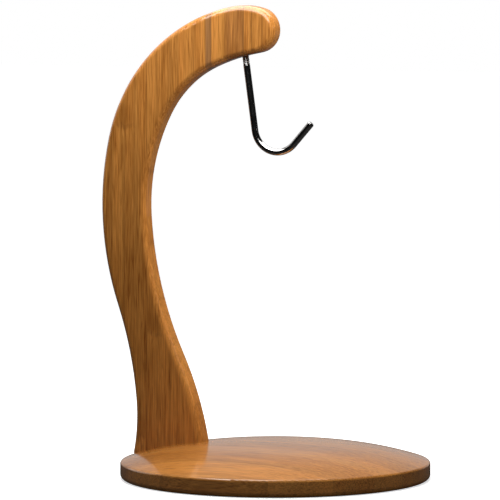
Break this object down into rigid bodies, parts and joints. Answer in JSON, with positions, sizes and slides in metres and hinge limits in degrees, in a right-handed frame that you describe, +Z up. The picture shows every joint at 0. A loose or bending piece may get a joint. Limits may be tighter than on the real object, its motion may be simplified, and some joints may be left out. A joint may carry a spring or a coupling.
{
  "type": "banana hanger",
  "caption": "Question-mark arm cut from flat bamboo board, standing in a slot of a round crowned base plate, with a bent steel hook under its nose.",
  "frame": {"origin": "centre of the base plate's flat underside, on the surface it stands on", "axes": "+Z up; the board lies in the XZ plane, its foot at -X and its nose and hook towards +X"},
  "size_m": [0.198, 0.178, 0.2707],
  "materials": {
    "base_plate": "bamboo strips edge to edge, satin lacquer",
    "upright_arm": "upright bamboo strips, satin lacquer",
    "hook": "polished steel rod",
    "foot_screws": "zinc-plated steel"
  },
  "bodies": {
    "root": {"base_plate": "base_plate", "upright_arm": "upright_arm", "hook": "hook", "foot_screws": "foot_screws"}
  },
  "joints": []
}
